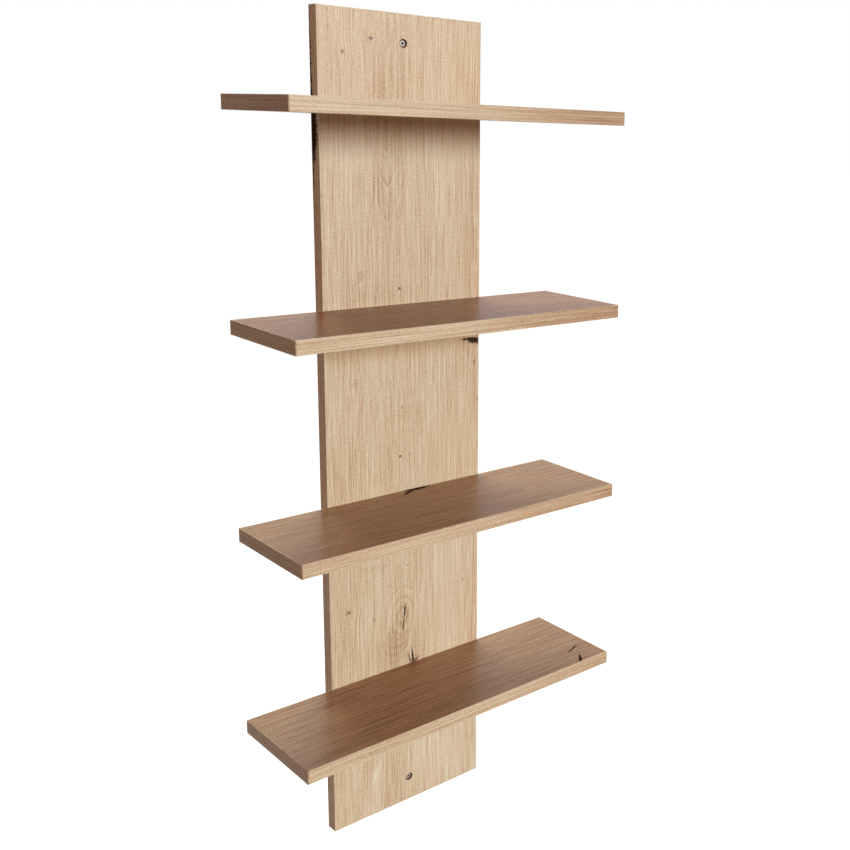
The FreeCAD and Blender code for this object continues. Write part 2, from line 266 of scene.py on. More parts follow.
spineOak = {
    **plainOak,
    "seed": 3.1,
    "fade": (-0.6, 0.6, 0.07),
    # across, along, half width, half height, darkness, ring
    "knots": [
        (-0.1075, 0.620, 0.0032, 0.0032, 0.70, 0.3),
        (-0.0585, 0.643, 0.0042, 0.0026, 0.85, 0.5),
        (-0.0825, 0.279, 0.0030, 0.0038, 0.20, 0.9),
        (-0.0115, 0.253, 0.0022, 0.0024, 0.95, 0.2),
        (0.1400, 0.112, 0.0020, 0.0020, 0.45, 0.4),
        (0.1475, 0.045, 0.0024, 0.0030, 0.50, 0.5),
        (-0.0975, 0.104, 0.0040, 0.0040, 0.12, 0.4),
        (-0.0075, 0.052, 0.0014, 0.0030, 0.55, 0.2),
        (-0.0125, -0.033, 0.0023, 0.0026, 0.98, 0.1),
        (0.0065, -0.032, 0.0016, 0.0020, 0.30, 0.1),
        (0.0000, -0.232, 0.0014, 0.0016, 0.65, 0.2),
        (-0.1150, -0.288, 0.0036, 0.0028, 0.75, 0.6),
        (-0.0660, -0.316, 0.0014, 0.0030, 0.55, 0.2),
        (0.1175, -0.290, 0.0020, 0.0024, 0.35, 0.4),
    ],
    # from across, along, to across, along, half width
    "splits": [
        (-0.0042, -0.3020, -0.0078, -0.3320, 0.0017),
        (-0.0070, -0.3240, -0.0102, -0.3540, 0.0013),
        (0.0072, -0.3840, 0.0145, -0.4560, 0.0027),
        (-0.0005, -0.3950, 0.0085, -0.4290, 0.0013),
        (0.0260, -0.4085, 0.0080, -0.4200, 0.0009),
        (0.1090, 0.1545, 0.1500, 0.1550, 0.0026),
        (0.1225, 0.1515, 0.1800, 0.1470, 0.0060),
    ],
    # across, along, half width, half height, lift of the tone
    "patches": [
        (-0.0660, -0.221, 0.020, 0.008, -0.16),
        (0.0720, -0.315, 0.042, 0.120, 0.12),
        (-0.0110, -0.322, 0.019, 0.034, -0.14),
        (-0.0230, -0.386, 0.030, 0.036, -0.25),
        (0.0220, -0.375, 0.012, 0.040, -0.06),
        (-0.0340, -0.318, 0.003, 0.020, 0.16),
        (-0.0660, -0.615, 0.008, 0.032, 0.20),
        (-0.0300, -0.640, 0.024, 0.080, -0.13),
        (-0.0920, -0.620, 0.014, 0.080, -0.10),
        (0.0600, -0.630, 0.050, 0.080, 0.06),
        (0.1400, 0.075, 0.016, 0.060, -0.11),
        (0.0120, -0.4140, 0.008, 0.004, -0.30),
        (-0.0300, 0.480, 0.034, 0.120, -0.06),
        (0.0500, 0.440, 0.030, 0.100, 0.06),
        (0.0550, 0.200, 0.028, 0.130, 0.05),
        # painted light: a band across the whole spine that lifts the tone in the shade under the top shelf
        (0.0000, 0.494, 0.400, 0.038, 0.09),
        (0.0850, 0.300, 0.020, 0.120, 0.06),
        (0.1360, 0.430, 0.014, 0.100, -0.10),
        (-0.0300, 0.243, 0.100, 0.016, -0.06),
        (0.0300, -0.050, 0.060, 0.100, 0.04),
        (0.1400, 0.570, 0.014, 0.030, -0.12),
        (0.1300, 0.300, 0.018, 0.055, -0.12),
        (0.1430, 0.360, 0.004, 0.010, 0.22),
        (0.1400, 0.278, 0.005, 0.008, 0.22),
        (0.1465, 0.322, 0.003, 0.010, 0.20),
    ],
    # from across, along, to across, along, half width, lift of the tone
    "streaks": [
        (-0.0300, -0.296, -0.0490, -0.366, 0.0032, 0.14),
        (0.0110, -0.352, -0.0050, -0.402, 0.0030, 0.14),
        (0.1130, 0.142, 0.1320, 0.104, 0.0020, 0.16),
        (-0.0570, -0.584, -0.0790, -0.634, 0.0040, 0.18),
        (-0.0340, -0.338, -0.0240, -0.366, 0.0020, -0.22),
    ],
    # painted shade: browner bands under two shelves: across, along, half width, half height, colour
    # multiplied over it
    "paintedShadeBands": [
        (0.0000, 0.510, 0.400, 0.027, (255, 236, 219)),
        (0.0000, 0.160, 0.400, 0.022, (255, 240, 226)),
    ],
    # closed rings: the middle, how it leans, the first ring's half width and height, rings apart as a
    # share of that ring, where they show and how strongly
    "eyes": [
        {"middle": (-0.0105, -0.323), "lean": 0.03, "first": (0.0200, 0.033), "apart": 0.6,
         "shown": (-0.012, -0.318, 0.030, 0.048), "strength": 0.30},
        {"middle": (-0.0150, -0.330), "lean": 0.17, "first": (0.022, 0.036), "apart": 0.36,
         "shown": (-0.021, -0.386, 0.034, 0.028), "strength": 0.18},
    ],
    # nested arrowheads: the lowest tip, how it leans, half width of an arm, tips apart, where and how much
    "arrows": [
        {"tip": (-0.032, 0.367), "lean": 0.0, "arm": 0.0235, "apart": 0.056,
         "shown": (-0.031, 0.430, 0.034, 0.070), "strength": 0.23},
        {"tip": (-0.037, 0.588), "lean": 0.12, "arm": 0.0150, "apart": 0.040,
         "shown": (-0.026, 0.616, 0.028, 0.034), "strength": 0.18},
    ],
}

shelfOak = {
    "top": {"seed": 11.7, "gloss": 0.2},
    # the upper shelf's lower tone and redder tint are more painted shade on its top
    "upper": {"seed": 23.4, "tone": -0.15, "tint": (184, 137, 99), "gloss": 0.10},
    "lower": {
        "seed": 31.9,
        "gloss": 0.2,
        "knots": [(-0.108, 0.106, 0.0048, 0.0055, 0.55, 0.7)],
        "splits": [
            (-0.0245, -0.012, -0.0252, 0.046, 0.0092),
            (-0.0265, 0.010, -0.0450, -0.022, 0.0034),
        ],
        "patches": [(-0.040, -0.015, 0.012, 0.030, -0.14)],
    },
    "bottom": {
        "seed": 47.2,
        "gloss": 0.42,
        "knots": [(-0.0235, 0.008, 0.0030, 0.0040, 0.8, 0.4)],
        "splits": [
            (-0.1760, 0.2390, -0.1590, 0.2790, 0.0019),
            (-0.1890, 0.2565, -0.2260, 0.2300, 0.0030),
        ],
        "patches": [(-0.140, -0.105, 0.016, 0.075, -0.12)],
        "arrows": [
            {"tip": (-0.135, -0.190), "lean": 0.0, "arm": 0.0130, "apart": 0.034,
             "shown": (-0.135, -0.140, 0.026, 0.060), "strength": 0.24},
        ],
    },
}

shelfOakCommon = {
    **plainOak,
    "sway": 0.006,
    "stretch": 0.9,
    "contrast": 2.1,
    "ringShade": 0.17,
    "roughness": 0.30,
    "tint": (199, 165, 138),      # painted shade: the shelf boards are tinted browner to stand in for the shade on the shelf tops
}

bandOak = {
    **plainOak,
    "sway": 0.001,
    "stretch": 0.5,
    "contrast": 0.85,
    "fleck": 0.75,
    "cloud": 0.14,
    "roughness": 0.40,
    "tone": -0.10,
}
frontPaintedSheen = {"top": 0.30, "upper": 0.30, "lower": 0.25, "bottom": 0.17}   # painted sheen: the fronts' tone falls to the right, standing in for a lamp's sheen that is strongest at their left
frontPaintedSheenRange = (-0.1, 0.35)
backCrack = (-0.095, -0.014, -0.095, 0.047, 0.004)   # the lower shelf's split runs over its back band
endShadedLook = {"tone": -0.36, "tint": (244, 251, 244), "gloss": 0.15}   # painted shade: the shelf ends are darker and greener
# a painted shadow along the spine's left back edge, broadest under the top shelf
edgePaintedShadow = [
    (0.0010, 0.710, 0.0000, 0.350, 0.0072),
    (-0.0110, 0.556, -0.0070, 0.448, 0.0095),
    (0.0008, 0.660, 0.0008, -1.900, 0.0030),
]


# how the marks are drawn; each fray says how strongly the rag moves that mark's outline
markShape = {
    "segmentFray": 0.8,
    "segmentStep": (-0.15, 0.35),
    "spotFray": 0.15,
    "eyeFray": 0.03,
    "eyeLine": 0.17,            # half width of a dark line, as a share of the distance between two
    "arrowFray": 0.025,
    "arrowLine": 0.075,
    "arrowRound": 0.035,        # how blunt an arrowhead's tip is
    "linePlace": 0.75,          # where the dark line lies between two rings
    "paleBefore": 1.6,          # the pale line lies so many dark half widths before it
    "paleWidth": 0.8,
    "lineStrength": 0.6,
}
# distances are shares of the knot's own half width and height
knotShape = {
    "fray": 0.25,
    "step": (1.25, 0.55),
    "ringPlace": 1.4,
    "ringReach": 0.7,
    "ringStrength": 0.45,
    "push": 0.55,               # how far it pushes the fibres beside it
    "pushFall": 0.045,          # and how soon that fades
    "sink": 0.6,                # its depth below the wood, as a share of the relief
}
# a split's darkness, its depth as a share of the relief, and how rough and dull it is
splitShape = {"shade": 0.95, "sink": 1.6, "rough": 0.3, "dull": 0.95}


def segment(along, across, mark, rag):
    # how deep a point lies inside a spindle drawn between two points: the width is 1 less the square of
    # the way from the middle to an end, and noise frets the sides
    fromAcross, fromAlong, toAcross, toAlong, width = mark
    length = math.hypot(toAcross - fromAcross, toAlong - fromAlong)
    leanAcross = (toAcross - fromAcross) / length
    leanAlong = (toAlong - fromAlong) / length
    middleAcross = (fromAcross + toAcross) / 2
    middleAlong = (fromAlong + toAlong) / 2
    down = (across - middleAcross) * leanAcross + (along - middleAlong) * leanAlong
    side = (across - fromAcross) * leanAlong - (along - fromAlong) * leanAcross
    room = ((down / (length / 2)).square() * -1) + 1
    edge = (side + rag * (width * markShape["segmentFray"])).size() / width
    return (room - edge).rise(*markShape["segmentStep"])


def spot(along, across, mark, rag):   # a bell over an ellipse: 1 in its middle, 0.37 on its outline
    middleAcross, middleAlong, wide, high = mark
    near = ((across - middleAcross) / wide).square() + ((along - middleAlong) / high).square()
    return ((near + rag * markShape["spotFray"]) * -1).step("EXPONENT")


def stripes(field, line):   # once for each whole number a dark line, with a pale one close before it
    share = field.step("FRACT")
    place = markShape["linePlace"]
    strength = markShape["lineStrength"]
    pale = (share - (place - markShape["paleBefore"] * line)).hump(line * markShape["paleWidth"])
    return pale * strength - (share - place).hump(line) * strength


def eye(along, across, mark, rag):
    # rings of one shape round a leaning middle: the field is the distance in first rings over their spacing
    middleAcross, middleAlong = mark["middle"]
    wide, high = mark["first"]
    rise = along - middleAlong
    side = (across - middleAcross - rise * mark["lean"]) / wide
    reach = (side.square() + (rise / high).square()).root() / mark["apart"]
    rings = stripes(reach + rag * markShape["eyeFray"], markShape["eyeLine"])
    return rings * (spot(along, across, mark["shown"], rag) * mark["strength"])


def arrow(along, across, mark, rag):
    # rounded arrowheads over one another: the field is the height less the arms' distance from the middle
    tipAcross, tipAlong = mark["tip"]
    rise = along - tipAlong
    side = (across - tipAcross - rise * mark["lean"]) / mark["arm"]
    field = rise / mark["apart"] - (side.square() + markShape["arrowRound"]).root()
    heads = stripes(field + rag * markShape["arrowFray"], markShape["arrowLine"])
    return heads * (spot(along, across, mark["shown"], rag) * mark["strength"])


def knotField(along, across, place, rag, knots):
    # each knot is a disc with a ring round it, and pushes the fibres aside by a bell round its middle
    core = None
    ring = None
    for knotAcross, knotAlong, wide, high, dark, halo in knots:
        near = ((across - knotAcross) / wide).square() + ((along - knotAlong) / high).square()
        far = near.root() + rag * knotShape["fray"]
        body = far.rise(*knotShape["step"]) * dark
        rim = (far - knotShape["ringPlace"]).hump(knotShape["ringReach"]) * (halo * knotShape["ringStrength"])
        core = body if core is None else core.most(body)
        ring = rim if ring is None else ring.most(rim)
        push = (near * -knotShape["pushFall"]).step("EXPONENT") * -knotShape["push"]
        place = place + (across - knotAcross) * push
    return core, ring, place


def splitField(along, across, rag, splits):
    deepest = None
    for mark in splits:
        cut = segment(along, across, mark, rag)
        deepest = cut if deepest is None else deepest.most(cut)
    return deepest


def markTone(tone, along, across, rag, look):   # adds the lifts of all patches, streaks, eyes and arrows
    for *mark, lift in look["patches"]:
        tone = tone + spot(along, across, mark, rag) * lift
    for *mark, lift in look["streaks"]:
        tone = tone + segment(along, across, mark, rag) * lift
    for mark in look["eyes"]:
        tone = tone + eye(along, across, mark, rag)
    for mark in look["arrows"]:
        tone = tone + arrow(along, across, mark, rag)
    return tone


def oakColour(tone, hue, along, across, rag, look):
    # the ramp's colour, multiplied by a pinkish or yellowish tint, by the bands of painted shade and by the
    # board's tint, which is painted shade as well
    wood = ramp(tone, oakTones["ramp"])
    warm = blend(hue, colour(*oakTones["pinkish"]), colour(*oakTones["yellowish"]))
    wood = blend(1.0, wood, warm, "MULTIPLY")
    # bands of painted shade under the shelves
    for *mark, tint in look["paintedShadeBands"]:
        shadedWood = blend(1.0, wood, colour(*tint), "MULTIPLY")
        wood = blend(spot(along, across, mark, rag), wood, shadedWood)
    # a board's tint is painted shade: it browns the shelf boards and darkens the shelf ends
    if look["tint"] != plainOak["tint"]:
        wood = blend(1.0, wood, colour(*look["tint"]), "MULTIPLY")
    return wood


def weighted(wires, shares):   # the sum of the named wires, each times its share
    total = None
    for name, share in shares.items():
        part = wires[name] * share
        total = part if total is None else total + part
    return total


def oakFigure(tree, along, across, hidden, look):
    # the tone is a weighted sum of fibre noises less the late wood of the rings; marks are moved far
    # away on a board's hidden side
    level = hidden * hiddenShift + look["seed"]
    markAlong = along + hidden * hiddenShift

    def fibre(name, place, stretch=look["stretch"]):
        length, width, seed, detail, roughness = fibreNoises[name]
        return noise(point(tree, along * (length * stretch), place * width, level + seed), detail, roughness)

    rag = fibre("rag", across, 1) * noiseToOne
    place = across + fibre("sway", across) * (look["sway"] * noiseToOne)
    place = place + fibre("drift", across) * (look["sway"] * driftShare)
    core, ring, place = knotField(markAlong, across, place, rag, look["knots"])
    year = (place / look["ringWidth"] + fibre("ringWander", place) * noiseToOne).step("FRACT")
    strength = fibre("ringStrength", place).rise(*grainSteps["ringStrength"])
    grain = {name: fibre(name, place) for name in ("hair", "thread", "medium")}
    grain["lateWood"] = year.rise(*grainSteps["lateWood"]) * year.rise(*grainSteps["ringEnd"]) * strength
    grain["strand"] = fibre("strand", place).rise(*grainSteps["strand"]) - 0.5
    dots = fibre("pores", place) + grain["lateWood"] * lateWoodPores
    grain["pores"] = dots.rise(*grainSteps["pores"])
    fine = weighted(grain, toneShares) + fibre("fleck", place, 1) * look["fleck"]
    tone = (fine - grain["lateWood"] * look["ringShade"]) * look["contrast"]
    tone = tone + fibre("broad", place) * look["cloud"] + (middleTone + look["tone"])
    # a fall of the tone along the grain; on the shelf fronts it is painted sheen
    fadeStart, fadeEnd, fade = look["fade"]
    if fade:
        tone = tone - along.rise(fadeStart, fadeEnd) * fade
    tone = markTone(tone, markAlong, across, rag, look)
    hue = fibre("hue", place).rise(*grainSteps["hue"])
    wood = oakColour(tone, hue, markAlong, across, rag, look)
    height = weighted(grain, heightShares)
    rough = weighted(grain, roughShares) + look["roughness"]
    gloss = look["gloss"]
    if core is not None:
        wood = blend(ring, wood, colour(*oakTones["knotRing"]))
        wood = blend(core, wood, colour(*oakTones["knot"]))
        height = height - core * knotShape["sink"]
    split = splitField(markAlong, across, rag, look["splits"])
    if split is not None:
        wood = blend(split * splitShape["shade"], wood, colour(*oakTones["split"]))
        height = height - split * splitShape["sink"]
        rough = rough + split * splitShape["rough"]
        gloss = (split * -splitShape["dull"] + 1) * gloss
    return wood, rough, height, gloss


chipCore = {
    "chipsPerMetre": 900,
    "shadeRange": 0.55,
    "roughness": 0.9,
    "cutStep": (0.95, 0.9),   # cosine of the tilt from the board's face where chips begin and are full
    "ramp": [(0.0, (74, 50, 34)), (0.5, (120, 86, 56)), (1.0, (172, 134, 94))],
}


def chipboard(tree, place):   # pressed chips, seen only where a drill has cut the board
    chips = tree.nodes.new("ShaderNodeTexVoronoi")
    chips.inputs["Scale"].default_value = chipCore["chipsPerMetre"]
    spread = point(tree, place["x"], place["y"], place["z"])
    feed(tree, chips.inputs["Vector"], spread)
    shade = Wire(tree, chips.outputs["Color"]) * chipCore["shadeRange"]
    return ramp(shade, chipCore["ramp"])


bandEdge = {
    "seamHalf": 0.0004,      # metres from a glue line's middle to where it ends
    "seamCore": 0.0001,
    "seamShade": 0.55,
    "wearReach": 0.0010,     # metres from a band's corner to where the wear ends
    "wearFull": 0.0002,
    "wearPatches": 60,       # waves a metre of the wear along the edge
    "wearStep": (-0.2, 0.2),
    "wearLeast": 0.05,       # how pale the edge is everywhere, and how much paler its worn places are
    "wearMore": 0.35,
    "wearRough": 0.2,
}


def fromLines(place, axis, low, high):   # the distance to the nearer of two planes across an axis
    return (place[axis] - low).size().least((place[axis] - high).size())


def oakMaterial(name, axes, look, back=None, seams=(), corners=()):
    # axes are the grain's, the cross-grain's and the thickness's; seams and corners are lines in metres;
    # back says which side of a board is the hidden one, and from where
    material, tree = newMaterial(name)
    place = texturePlace(tree, "Object")
    along, across, through = (place[axis] for axis in axes)
    hidden = through.step(*back) if back else 0
    wood, rough, height, gloss = oakFigure(tree, along, across, hidden, look)
    for line in seams:   # a dark glue line where a band meets the board
        shade = fromLines(place, *line).rise(bandEdge["seamHalf"], bandEdge["seamCore"])
        wood = blend(shade * bandEdge["seamShade"], wood, colour(*oakTones["seam"]))
    for line in corners:   # edges rubbed pale and dull, more in some places than in others
        patchy = noise(scaled(tree, place, [bandEdge["wearPatches"]] * 3)).rise(*bandEdge["wearStep"])
        edge = fromLines(place, *line).rise(bandEdge["wearReach"], bandEdge["wearFull"])
        worn = edge * (patchy * bandEdge["wearMore"] + bandEdge["wearLeast"])
        wood = blend(worn, wood, colour(*oakTones["worn"]))
        rough = rough + worn * bandEdge["wearRough"]
    if back:
        raw = texturePlace(tree, "Normal")[axes[2]].size().rise(*chipCore["cutStep"])
        wood = blend(raw, wood, chipboard(tree, place))
        rough = rough.most(raw * chipCore["roughness"])
    return surface(material, wood, rough, height, oakRelief, **{"Specular IOR Level": gloss})


def dress(node, material):
    nodes[node].material_slots[0].material = material


def dressBoard(node, name, axes, look, thickness, seamAxes, hiddenSide):
    low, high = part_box(node)
    middle = (getattr(low, thickness) + getattr(high, thickness)) / 2
    seams = [(axis, getattr(low, axis), getattr(high, axis)) for axis in seamAxes]
    dress(node, oakMaterial(name, axes, look, (hiddenSide, middle), seams=seams))


def dressBand(node, name, axes, look, thickness):
    low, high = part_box(node)
    corners = [(thickness, getattr(low, thickness), getattr(high, thickness))]
    dress(node, oakMaterial(name, axes, {**bandOak, **look}, corners=corners))


def dressSpine():
    dressBoard("spine_board", "spineOak", "zxy", spineOak, "y", "xz", "GREATER_THAN")
    for part, axes, seed, gloss in spineBands:
        # the left band carries the painted shadow, drawn as dark splits
        look = {"seed": seed, "gloss": gloss, "splits": edgePaintedShadow if part == "left" else []}
        dressBand(f"spine_{part}_band", f"spine{part.title()}Band", axes, look, "y")


def dressShelf(shelf):
    own = {**shelfOakCommon, **shelfOak[shelf]}
    dressBoard(f"{shelf}_shelf_board", f"{shelf}ShelfOak", "xyz", own, "z", "xy", "LESS_THAN")
    looks = {
        "front": {"fade": (*frontPaintedSheenRange, frontPaintedSheen[shelf])},
        "back": {"splits": [backCrack] if shelf == "lower" else []},
        "left": endShadedLook,
        "right": endShadedLook,
    }
    for part, axes, seed in shelfBands:
        look = {**looks[part], "seed": seed + own["seed"]}
        dressBand(f"{shelf}_shelf_{part}_band", f"{shelf}{part.title()}Band", axes, look, "z")


# part, axes of grain, cross-grain and thickness, seed, and gloss on the spine
spineBands = [
    ("left", "zyx", 83.5, 0.15), ("right", "zyx", 88.9, 0.15),
    ("top", "xyz", 95.6, 0.3), ("bottom", "xyz", 98.3, 0.3),
]
shelfBands = [("front", "xzy", 61.3), ("back", "xzy", 66.1), ("left", "yzx", 74.8), ("right", "yzx", 79.2)]
dressSpine()
for shelf in shelves:
    dressShelf(shelf)
print("oak on", (1 + len(spineBands)) + len(shelves) * (1 + len(shelfBands)), "boards and bands")


# fasteners: rings of points carried down an axis, the radius a function of angle and depth

wallScrew = {
    "crest": 0.00225,        # thread radius
    "shank": 0.00165,
    "tip": 0.005,
    "tipShare": 0.02,        # radius left at the tip, as a share of the thread's
    "threadPitch": 0.0022,
    "coreShare": 0.68,       # thread root over thread crest
    "rimRound": 0.0003,
    "slotWidth": 0.0012,     # the cross recess
    "slotReach": 0.0044,
    "recessDepth": 0.0017,
    "recessSlope": 0.55,     # how much the floor rises towards the wall, as a share of the depth
    "recessWall": 0.9,       # where the recess wall starts, as a share of its outline
    "rowsPerTurn": 10,
    "columns": 96,
}
connector = {
    "crest": 0.0032,
    "threadPitch": 0.0030,
    "coreShare": 0.72,
    "rimRound": 0.0004,
    "plainShank": 0.012,
    "end": 0.002,
    "socketWidth": 0.004,    # across the hexagon's flats
    "recessDepth": 0.003,
    "recessSlope": 0.0,
    "recessWall": 0.97,
    "rowsPerTurn": 10,
    "columns": 72,
}
connectorPlaces = (0, 0.5, 1)   # shares of the way from the first screw of a shelf to the last
dowel = {"bevel": 0.001, "grooves": 20, "grooveDepth": 0.00022, "columns": 120}
threadRidge = 0.27              # half width of the thread's ridge, as a share of the pitch
neck = 0.001                    # metres in which a plain shank narrows to the thread's core
floorRows = 8                   # rows across a recess's floor
headSteps = 5                   # points up its wall, across the face and round the rim, with both ends
sharpAngle = 38                 # degrees past which an edge stays sharp


def ringsMesh(radius, down, angles, centre, forward):
    # rows of rings: x and z from radius and angle, y from the depth down the axis; both ends run to a pole
    x = centre[0] + radius * np.cos(angles)
    z = centre[2] + radius * np.sin(angles)
    y = centre[1] + down * forward
    grid = np.stack([x, y, z], -1)
    rows, columns = radius.shape
    points = np.concatenate([grid[0].mean(0)[None], grid[1:-1].reshape(-1, 3), grid[-1].mean(0)[None]])
    ring = 1 + np.arange((rows - 2) * columns).reshape(rows - 2, columns)
    after = np.roll(ring, -1, axis=1)
    quads = np.stack([ring[:-1], after[:-1], after[1:], ring[1:]], -1).reshape(-1, 4)
    first = np.stack([np.zeros_like(ring[0]), after[0], ring[0]], -1)
    last = np.stack([np.full_like(ring[0], len(points) - 1), ring[-1], after[-1]], -1)
    return points, quads, np.concatenate([first, last]), radius, down


def volume(points, triangles):   # signed: positive where the faces point outwards
    a, b, c = (points[triangles[:, i]] for i in range(3))
    return np.einsum("ij,ij->i", a, np.cross(b, c)).sum() / 6


def makePiece(name, parts, material, stoodFor):
    points, faces, reach, depth = [], [], [], []
    start = 0
    for partPoints, quads, triangles, radius, down in parts:
        both = np.concatenate([triangles, quads[:, :3], quads[:, [0, 2, 3]]])
        if volume(partPoints, both) < 0:
            quads, triangles = quads[:, ::-1], triangles[:, ::-1]
        points.append(partPoints)
        faces += (quads + start).tolist() + (triangles + start).tolist()
        for store, values in ((reach, radius), (depth, down)):
            store.append(np.concatenate([values[0, :1], values[1:-1].ravel(), values[-1, :1]]))
        start += len(partPoints)
    mesh = bpy.data.meshes.new(name)
    mesh.from_pydata(np.concatenate(points).tolist(), [], faces)
    for label, store in (("reach", reach), ("depth", depth)):
        values = np.concatenate(store).astype(np.float32)
        mesh.attributes.new(label, "FLOAT", "POINT").data.foreach_set("value", values)
    mesh.polygons.foreach_set("use_smooth", np.ones(len(mesh.polygons), bool))
    mesh.set_sharp_from_angle(angle=math.radians(sharpAngle))
    mesh.materials.append(material)
    piece = bpy.data.objects.new(name, mesh)
    bpy.context.scene.collection.objects.link(piece)
    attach(piece, "root")
    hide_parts(stoodFor)
    return piece


def between(start, stop, count):   # count rows from start towards stop, without the last
    return start + (stop - start) * np.arange(count)[:, None] / count


def crossOutline(angles, width, reach):   # radius of a cross: its arm's end, or its side by width over sine
    lean = np.abs((angles + np.pi / 4) % (np.pi / 2) - np.pi / 4)
    return np.minimum(reach / 2, width / 2 / np.maximum(np.sin(lean), 1e-6))


def hexagonOutline(angles, width):   # half the width over the cosine of the angle from a flat's middle
    lean = (angles % (np.pi / 3)) - np.pi / 6
    return width / 2 / np.cos(lean)


def recess(outline, spec):
    # floor rows from the axis to the wall, which climbs to the head's face at the outline
    wall = spec["recessWall"]
    share = np.concatenate([np.linspace(0, wall, floorRows), np.linspace(wall, 1, headSteps)[1:-1]])[:, None]
    floor = spec["recessDepth"] * (1 - spec["recessSlope"] * share)
    climb = np.clip((1 - share) / (1 - wall), 0, 1)
    return outline * share, floor * climb + 0 * outline


def threadRows(start, stop, angles, spec, taper):
    # the radius is the core plus a ridge that climbs one pitch a turn: a tent over half of the pitch,
    # which grows over the first two turns
    pitch = spec["threadPitch"]
    rows = int((stop - start) / pitch * spec["rowsPerTurn"])
    down = between(start, stop, rows) + 0 * angles
    turn = (down / pitch - angles / (2 * np.pi)) % 1
    ridge = np.clip(1 - np.abs(turn - 0.5) / threadRidge, 0, 1)
    lead = np.clip((down - start) / (2 * pitch), 0, 1)
    core = spec["crest"] * spec["coreShare"]
    return (core + (spec["crest"] - core) * ridge * lead) * taper(down), down


def stackRows(pieces):
    radius = np.concatenate([piece[0] for piece in pieces])
    down = np.concatenate([piece[1] for piece in pieces])
    return radius, down


def flatRows(pairs, angles):   # a plain turned profile: one ring for each (radius, depth)
    profile = np.array(pairs)
    return profile[:, :1] + 0 * angles, profile[:, 1:] + 0 * angles


def headRows(outline, spec, headRadius, shankRadius, angles):
    # recess, flat face, a quarter-round rim and the 45 degree cone under it
    rimRound = spec["rimRound"]
    share = np.linspace(0, 1, headSteps)[:, None]
    face = outline + (headRadius - rimRound - outline) * share, 0 * outline * share
    bend = np.linspace(0, np.pi / 2, headSteps)[1:]
    rim = [(headRadius - rimRound + rimRound * math.sin(t), rimRound * (1 - math.cos(t))) for t in bend]
    cone = [(shankRadius, headRadius - shankRadius)]
    return stackRows([recess(outline, spec), face, flatRows(rim + cone, angles)])


def makeWallScrew(name):   # recess, head, plain shank in the spine, thread in the wall and a pointed tip
    low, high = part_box(name)
    headRadius = (high.x - low.x) / 2
    length = high.y - low.y
    centre = ((low.x + high.x) / 2, low.y, (low.z + high.z) / 2)
    shank = wallScrew["shank"]
    spineBack = -low.y            # depth at which the screw leaves the spine
    angles = np.linspace(0, 2 * np.pi, wallScrew["columns"], endpoint=False)
    outline = crossOutline(angles, wallScrew["slotWidth"], wallScrew["slotReach"])
    core = wallScrew["crest"] * wallScrew["coreShare"]
    radius, down = stackRows([
        headRows(outline, wallScrew, headRadius, shank, angles),
        flatRows([(shank, spineBack - neck), (core, spineBack)], angles),
        threadRows(spineBack, length, angles, wallScrew,
                   lambda depth: np.clip((length - depth) / wallScrew["tip"], wallScrew["tipShare"], 1)),
        flatRows([(0, length)], angles),
    ])
    return ringsMesh(radius, down, angles, centre, 1)


def makeConnectors(name):   # a shelf's screws: hexagon socket, head, plain shank, thread and a blunt end
    low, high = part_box(name)
    headRadius = (high.z - low.z) / 2
    length = high.y - low.y
    crest = connector["crest"]
    core = crest * connector["coreShare"]
    start = connector["plainShank"]
    stop = length - connector["end"]
    angles = np.linspace(0, 2 * np.pi, connector["columns"], endpoint=False)
    outline = hexagonOutline(angles, connector["socketWidth"])
    radius, down = stackRows([
        headRows(outline, connector, headRadius, crest, angles),
        flatRows([(crest, start - neck), (core, start)], angles),
        threadRows(start, stop, angles, connector, lambda depth: 1),
        flatRows([(core, stop), (crest / 2, length), (0, length)], angles),
    ])
    made = []
    for share in connectorPlaces:
        x = low.x + headRadius + share * (high.x - low.x - 2 * headRadius)
        centre = (x, high.y, (low.z + high.z) / 2)
        made.append(ringsMesh(radius, down, angles, centre, -1))
    return made


def makeDowels(name):
    # a grooved dowel: the radius dips by a cosine of many turns round, and both ends are bevelled
    low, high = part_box(name)
    full = (high.z - low.z) / 2
    length = high.y - low.y
    bevel = dowel["bevel"]
    angles = np.linspace(0, 2 * np.pi, dowel["columns"], endpoint=False)
    profile = np.array([
        (0, 0), (full - bevel, 0), (full, bevel), (full, length / 2), (full, length - bevel),
        (full - bevel, length), (0, length),
    ])
    grooved = np.array([0, 0, 1, 1, 1, 0, 0])[:, None]
    dip = dowel["grooveDepth"] * (0.5 - 0.5 * np.cos(dowel["grooves"] * angles))
    radius = profile[:, :1] - grooved * dip
    down = profile[:, 1:] + 0 * angles
    made = []
    for x in (low.x + full, high.x - full):
        centre = (x, low.y, (low.z + high.z) / 2)
        made.append(ringsMesh(radius, down, angles, centre, 1))
    return made


def attribute(tree, name):
    made = tree.nodes.new("ShaderNodeAttribute")
    made.attribute_name = name
    return Wire(tree, made.outputs["Fac"])


